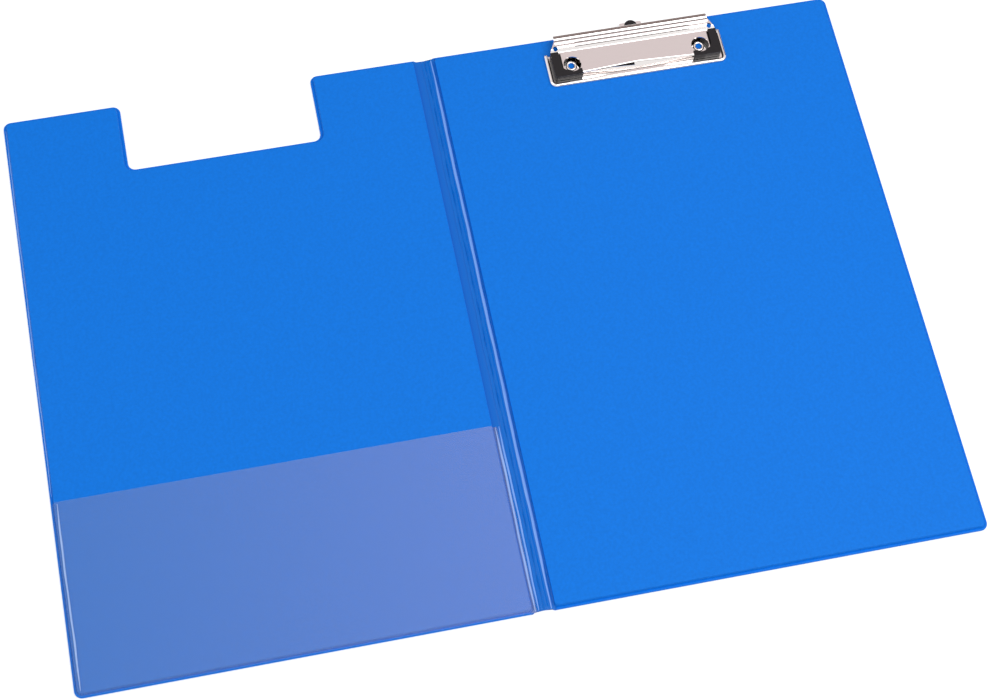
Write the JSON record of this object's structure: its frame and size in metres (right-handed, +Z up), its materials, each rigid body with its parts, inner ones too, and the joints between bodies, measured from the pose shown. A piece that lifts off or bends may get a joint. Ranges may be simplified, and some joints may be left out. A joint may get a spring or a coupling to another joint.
{
  "type": "clipboard folder",
  "caption": "Fold-over clipboard folder lying open: PVC-covered boards joined by a creased spine, a steel lever clip with black corner pads, a notched cover and a clear pocket.",
  "frame": {"origin": "centre of the open folder's outline, hanging tab's grip included, on the underside", "axes": "+X across the open folder from the cover to the back panel, +Y along the spine towards the clip, +Z up from the underside"},
  "size_m": [0.46, 0.323, 0.01],
  "materials": {
    "blue_pvc": "bright blue soft PVC sheet with a fine matte grain, glossy where it is welded",
    "greyboard": "bare greyboard, sealed inside the sheets",
    "clear_film": "slightly milky clear PVC film",
    "nickel_plate": "bright nickel plate on pressed steel",
    "spring_wire": "drawn spring steel wire",
    "black_plastic": "moulded satin black plastic"
  },
  "bodies": {
    "back_panel": {"back_outer_sheet": "blue_pvc", "back_inner_sheet": "blue_pvc", "back_board": "greyboard", "clip_base": "nickel_plate", "clip_rivets": "nickel_plate", "pivot_pin": "nickel_plate", "spring_left": "spring_wire", "spring_right": "spring_wire"},
    "spine": {"spine_outer_strip": "blue_pvc", "spine_inner_strip": "blue_pvc"},
    "front_cover": {"cover_outer_sheet": "blue_pvc", "cover_inner_sheet": "blue_pvc", "cover_board": "greyboard", "pocket_film": "clear_film"},
    "lever": {"clip_lever": "nickel_plate", "pad_left": "black_plastic", "pad_right": "black_plastic"},
    "tab": {"hanging_tab": "nickel_plate", "tab_grip": "black_plastic"}
  },
  "joints": [
    {"name": "spine_crease", "type": "hinge", "parent": "back_panel", "child": "spine", "pos_m": [0.005, 0, 0.0004], "axis": [0, 1, 0], "range_deg": [-90, 90]},
    {"name": "cover_crease", "type": "hinge", "parent": "spine", "child": "front_cover", "pos_m": [-0.005, 0, 0.0004], "axis": [0, 1, 0], "range_deg": [-90, 90]},
    {"name": "lever_pivot", "type": "hinge", "parent": "back_panel", "child": "lever", "pos_m": [0.1154, 0.1515, 0.00625], "axis": [-1, 0, 0], "range_deg": [0, 30], "stiffness_Nm_per_rad": 0.2, "springref_deg": -57.3, "deforming": ["spring_left", "spring_right"]},
    {"name": "tab_slide", "type": "slide", "parent": "back_panel", "child": "tab", "axis": [0, 1, 0], "range_m": [0, 0.0098]}
  ]
}
